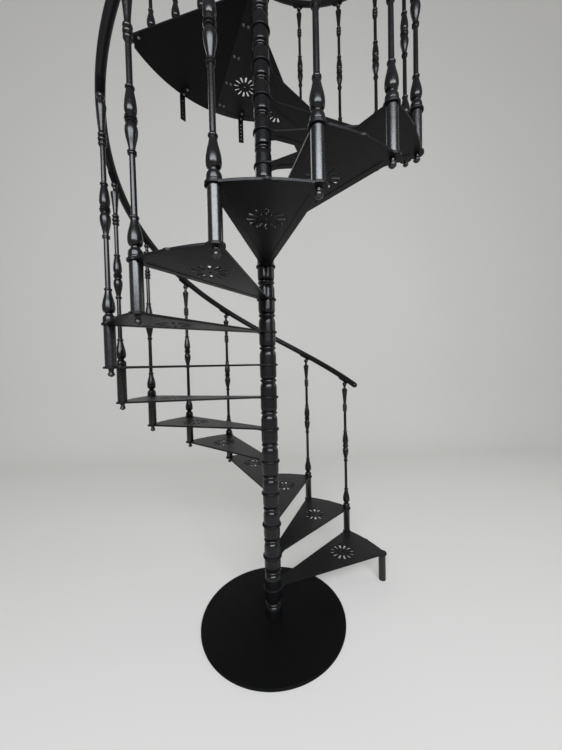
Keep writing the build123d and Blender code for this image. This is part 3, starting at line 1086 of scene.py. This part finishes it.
def nut_and_washer():
    """A washer with a hex nut and the end of its bolt, hanging down from the origin."""
    shape = bmesh.new()
    washer = [(0.0, -0.0014), (0.0086, -0.0014), (0.0090, -0.0010), (0.0090, 0.0), (0.0, 0.0)]
    hexagon = [(0.0, -0.0075), (0.0060, -0.0075), (0.0068, -0.0066), (0.0068, -0.0013), (0.0, -0.0013)]
    stub = [(0.0, -0.0105), (0.0026, -0.0105), (0.0034, -0.0098), (0.0034, -0.0070), (0.0, -0.0070)]
    add_turned(shape, washer, sides=20)
    add_turned(shape, hexagon, sides=6)
    add_turned(shape, stub, sides=12)
    return finished("nut", shape, screw_paint, angle=30.0)


def domed_head():
    """A low domed head that stands on the origin."""
    shape = bmesh.new()
    dome = [(0.0, -0.0005), (0.0085, -0.0005), (0.0088, 0.0004), (0.0075, 0.0016), (0.0040, 0.0026)]
    add_turned(shape, dome + [(0.0, 0.0029)], sides=20)
    return finished("head", shape, screw_paint, angle=50.0)


def bolt_rows(name, count, first, step, depth, facing):
    """A row of heads from first on, and the row of their nuts a depth below."""
    under = first - Vector((0.0, 0.0, depth))
    return [
        in_a_row(f"{name}_nuts", nut_and_washer(), count, under, step, facing),
        in_a_row(f"{name}_heads", domed_head(), count, first, step),
    ]


# %% Set the lap's bolts
lap_bolt_count = 4
lap_first = 0.160
lap_spacing = 0.1987
lap_offsets = (0.009, 0.039)
lap_step = plan(seam_turn, lap_spacing)
lap_rows = []
for offset in lap_offsets:
    first = plan(seam_turn, lap_first, landing_level, offset)
    lap_rows += bolt_rows("lap", lap_bolt_count, first, lap_step, plate_thickness, seam_turn)
lap_bolts = join("lap_bolts", *lap_rows)
dress(lap_bolts, "black_plate")

# %% Set the straps' bolts
strap_turns = [math.radians(degrees) for degrees in (102.0, 134.0, 164.0)]
strap_bolt_count = 2
strap_thickness = 0.006
strap_first = 0.775
strap_spacing = 0.052
strap_depth = plate_thickness + strap_thickness
strap_rows = []
for direction in strap_turns:
    first = plan(direction, strap_first, landing_level)
    step = plan(direction, strap_spacing)
    strap_rows += bolt_rows("strap", strap_bolt_count, first, step, strap_depth, direction)
strap_bolts = join("strap_bolts", *strap_rows)
dress(strap_bolts, "black_plate")

# %% [markdown]
# ## Handrails
# The rail is one round tube bent to a helix, with domed ends. Written as rings along the helix it
# stays perfectly round, and the rings of the ends shrink into domes. The landing's rail is the
# same bar along a straight line, from the newel's cap to past the last baluster.

# %% Sweep a bar
rail_radius = 0.020
rail_sides = 28
dome_steps = 8


def domed_bar(name, path, start, end, steps):
    """A round bar along path(length), from start to end, with a dome past each end."""
    quarter = spread(0.0, math.pi / 2, dome_steps)[:-1]
    stations = [(start - rail_radius * math.cos(a), math.sin(a)) for a in quarter]
    stations += [(length, 1.0) for length in spread(start, end, steps)]
    stations += [(end + rail_radius * math.cos(a), math.sin(a)) for a in reversed(quarter)]
    angles = spread(0.0, 2 * math.pi, rail_sides)[:-1]
    shape = bmesh.new()
    rings = []
    for length, share in stations:
        clamped = min(max(length, start), end)
        centre, heading = path(clamped)
        centre = centre + heading * (length - clamped)
        side = heading.cross(Vector((0, 0, 1))).normalized()
        top = side.cross(heading).normalized()
        around = angles if share > tiny else [0.0]
        spokes = [math.cos(a) * side + math.sin(a) * top for a in around]
        rings.append([shape.verts.new(centre + rail_radius * share * spoke) for spoke in spokes])
    skin(shape, rings)
    return finished(name, shape, rail_paint)


# %% Bend the handrail
seat_gap = 0.0003
saddle_thickness = 0.004
rail_end = math.radians(6.5)
rail_slope = math.atan(riser / (turn * guard_radius))
saddle_drop = rail_radius + seat_gap + saddle_thickness
rail_height = ball_level + (ball_radius + seat_gap + saddle_drop) / math.cos(rail_slope)
climb_length = math.hypot(guard_radius * turn, riser)


def rail_path(length):
    """Point and heading on the handrail's helix, by its length from the first baluster."""
    treads_past = length / climb_length
    direction = corner_turn(1) + treads_past * turn
    centre = plan(direction, guard_radius, 2 * riser + rail_height + treads_past * riser)
    around = guard_radius * turn
    heading = Vector((-math.sin(direction) * around, math.cos(direction) * around, riser))
    return centre, heading.normalized()


run_past = rail_end / turn * climb_length
rail_run = (tread_count - 1) * climb_length
handrail = domed_bar("bent_handrail", rail_path, -run_past, rail_run + run_past, steps=260)
dress(handrail, "black_tube", "handrail", "handrail_ends")
print(f"handrail: {rail_run + 2 * run_past:.2f} m along its middle")

# %% Set the landing's rail
landing_rail_level = sum(corner.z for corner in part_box("landing_rail")) / 2
rail_overrun = 0.091
rail_sink = 0.012
rail_reach = landing_start + (landing_baluster_count - 1) * landing_spacing + rail_overrun
guard_ahead = plan(guard_turn, 1.0)


def landing_rail_path(length):
    """Point and heading on the landing's rail, by its distance from the axis."""
    return plan(guard_turn, length, landing_rail_level), guard_ahead


rail_start = section_radius - rail_sink
landing_bar = domed_bar("straight_rail", landing_rail_path, rail_start, rail_reach, steps=24)
dress(landing_bar, "black_tube", "landing_rail")

# %% [markdown]
# ## Saddles
# A flat saddle joins each baluster to the rail: a short bar with round ends and four pan-headed
# screws that go up into the rail, two on each side of the baluster.

# %% Cut a saddle
saddle_length = 0.090
saddle_width = 0.030
screw_spots = (-0.034, -0.017, 0.017, 0.034)


def saddle_piece(name, tilt):
    """A saddle whose length runs along Y, tilted up about X, with screw heads below."""
    shape = bmesh.new()
    end = saddle_length / 2 - saddle_width / 2
    loop = arc(Vector((0.0, end)), saddle_width / 2, 0.0, math.pi, 12)
    loop += arc(Vector((0.0, -end)), saddle_width / 2, math.pi, 2 * math.pi, 12)
    top = -rail_radius - seat_gap
    under = top - saddle_thickness
    stations = rolled(under, top, low=0.0008, high=0.0008, steps=2)
    low, high = wall(shape, loop, stations)
    fill(shape, low)
    fill(shape, high)
    head = [(0.0, under - 0.0026), (0.0026, under - 0.0025), (0.0044, under - 0.0018)]
    head += [(0.0050, under - 0.0006), (0.0050, under + 0.0004), (0.0, under + 0.0004)]
    for along_saddle in screw_spots:
        add_turned(shape, head, sides=16, centre=(0.0, along_saddle))
    piece = finished(name, shape, plate_paint, angle=40.0)
    piece.data.transform(Matrix.Rotation(tilt, 4, "X"))
    return piece


saddle_level = 2 * riser + rail_height
saddle = saddle_piece("saddle", rail_slope)
saddles = up_the_stair("screwed_saddles", saddle, saddle_level, radius=guard_radius)
dress(saddles, "black_plate", "handrail_saddles")

landing_saddle = saddle_piece("landing_saddle", 0.0)
landing_saddles = in_a_row(
    "screwed_landing_saddles",
    landing_saddle,
    landing_baluster_count,
    plan(guard_turn, landing_start, landing_rail_level),
    plan(guard_turn, landing_spacing),
    guard_turn - math.pi / 2,
)
dress(landing_saddles, "black_plate", "landing_saddles")

# %% Paint the pole
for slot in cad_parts["centre_pole"].material_slots:
    slot.material = tube_paint
print("centre pole:", tube_paint.name)

# %% [markdown]
# ## Camera, light and floor
# The photograph was taken with a wide lens from about eye height, close to the stair, so the
# camera stands there with the same lens. A wide soft window, high behind the camera, gives the
# turned pieces their upright highlights. The floor and backdrop are pale and plain, and the camera
# sees them lighter than they light the stair, because black paint would otherwise turn grey. What
# the paint mirrors of the world darkens upwards, so that the tops of rails and beads stay black.

# %% Camera
camera_data = bpy.data.cameras.new("camera")
camera_data.sensor_fit = "VERTICAL"
camera_data.sensor_height = 36.0
camera_data.lens = 14.42
camera_data.clip_start = 0.05
camera = new_object("camera", camera_data)
eye = Vector((-0.00396, -1.7248, 1.46432))
view_right = Vector((0.99872246, -0.04526306, -0.0224658))
view_ahead = Vector((0.04460367, 0.99858282, -0.02903196))
view_up = view_right.cross(view_ahead)
axes = Matrix((view_right, view_up, -view_ahead)).transposed().to_4x4()
camera.matrix_world = Matrix.Translation(eye) @ axes
bpy.context.scene.camera = camera
print(f"camera {eye.z:.2f} m up, {-eye.y:.2f} m away")

# %% Stage finish


def show_instead(tree, shader, seen, share, output):
    """Show a share of seen to rays that look at it, from the camera, a gloss or a glass."""
    rays, direct, either, scaled, mix = add_nodes(
        tree, "ShaderNodeLightPath", "ADD", "ADD", "MULTIPLY", "ShaderNodeMixShader"
    )
    either.use_clamp = True
    set_inputs(scaled, {1: share})
    link_nodes(
        tree,
        (rays, "Is Camera Ray", direct, 0),
        (rays, "Is Glossy Ray", direct, 1),
        (direct, 0, either, 0),
        (rays, "Is Transmission Ray", either, 1),
        (either, 0, scaled, 0),
        (scaled, 0, mix, 0),
        (shader, 0, mix, 1),
        (seen, 0, mix, 2),
        (mix, 0, tree.nodes[output], "Surface"),
    )


def pale(name, colour, glow_colour, share):
    """A matt pale finish for the stage, part of which shows at a set brightness."""
    material, tree, shader = new_material(name)
    set_inputs(shader, {"Roughness": 0.9, "Specular IOR Level": 0.2, "Base Color": (*colour, 1.0)})
    (glow,) = add_nodes(tree, "ShaderNodeEmission")
    set_inputs(glow, {"Color": (*glow_colour, 1.0)})
    show_instead(tree, shader, glow, share, "Material Output")
    return material


# %% Floor and backdrop
stage_paint = pale("pale stage", (0.62, 0.61, 0.59), glow_colour=(0.60, 0.59, 0.57), share=0.4)
stage_shape = bmesh.new()
half_width = 12.0
front_edge = -6.0
cove_foot = 3.0
cove_size = 1.0
backdrop_top = 9.0
curve = arc(Vector((cove_foot, cove_size)), cove_size, -math.pi / 2, 0.0, 12)
stage_outline = [Vector((front_edge, 0.0)), *curve, Vector((cove_foot + cove_size, backdrop_top))]
left = [stage_shape.verts.new((-half_width, spot.x, spot.y)) for spot in stage_outline]
right = [stage_shape.verts.new((half_width, spot.x, spot.y)) for spot in stage_outline]
for i in range(len(stage_outline) - 1):
    stage_shape.faces.new((left[i], right[i], right[i + 1], left[i + 1]))
stage = finished("stage", stage_shape, stage_paint, angle=60.0)
print("stage:", len(stage.data.polygons), "faces")

# %% Lights
stair_middle = Vector((0.0, 0.0, 1.9))


def soft_light(name, place, wide, high, watts, colour):
    """A soft box that looks at the middle of the stair. The camera doesn't see it."""
    data = bpy.data.lights.new(name, "AREA")
    data.shape = "RECTANGLE"
    data.size = wide
    data.size_y = high
    data.energy = watts
    data.color = colour
    lamp = new_object(name, data)
    lamp.location = place
    lamp.rotation_euler = (stair_middle - Vector(place)).to_track_quat("-Z", "Y").to_euler()
    lamp.visible_camera = False
    print(f"{name}: {watts} W over {wide} by {high} m")


soft_light("window", (0.2, -4.0, 3.6), wide=5.4, high=1.9, watts=450.0, colour=(0.90, 0.95, 1.0))
soft_light("right fill", (4.0, 0.6, 3.0), wide=1.2, high=2.4, watts=20.0, colour=(1.0, 0.97, 0.93))
soft_light("back", (-2.4, 2.4, 4.6), wide=1.6, high=1.6, watts=16.0, colour=(1.0, 0.98, 0.95))

# %% World
world = bpy.data.worlds.new("room")
world.use_nodes = True
bpy.context.scene.world = world
world_tree = world.node_tree
room = world_tree.nodes["Background"]
set_inputs(room, {"Color": (0.93, 0.93, 0.92, 1.0), "Strength": 0.28})
seen_room, looking, upwards, fading = add_nodes(
    world_tree,
    "ShaderNodeBackground",
    "ShaderNodeTexCoord",
    "ShaderNodeSeparateXYZ",
    "ShaderNodeMapRange",
)
set_inputs(seen_room, {"Color": (0.31, 0.303, 0.295, 1.0)})
fading.interpolation_type = "SMOOTHSTEP"
set_inputs(fading, {"From Min": 0.0, "From Max": 0.6, "To Min": 1.0, "To Max": 0.6})
link_nodes(
    world_tree,
    (looking, "Generated", upwards, 0),
    (upwards, "Z", fading, "Value"),
    (fading, "Result", seen_room, "Strength"),
)
show_instead(world_tree, room, seen_room, 1.0, "World Output")
print("world:", len(world_tree.nodes), "nodes")

# %% Finish
bpy.context.scene.view_settings.view_transform = "Standard"
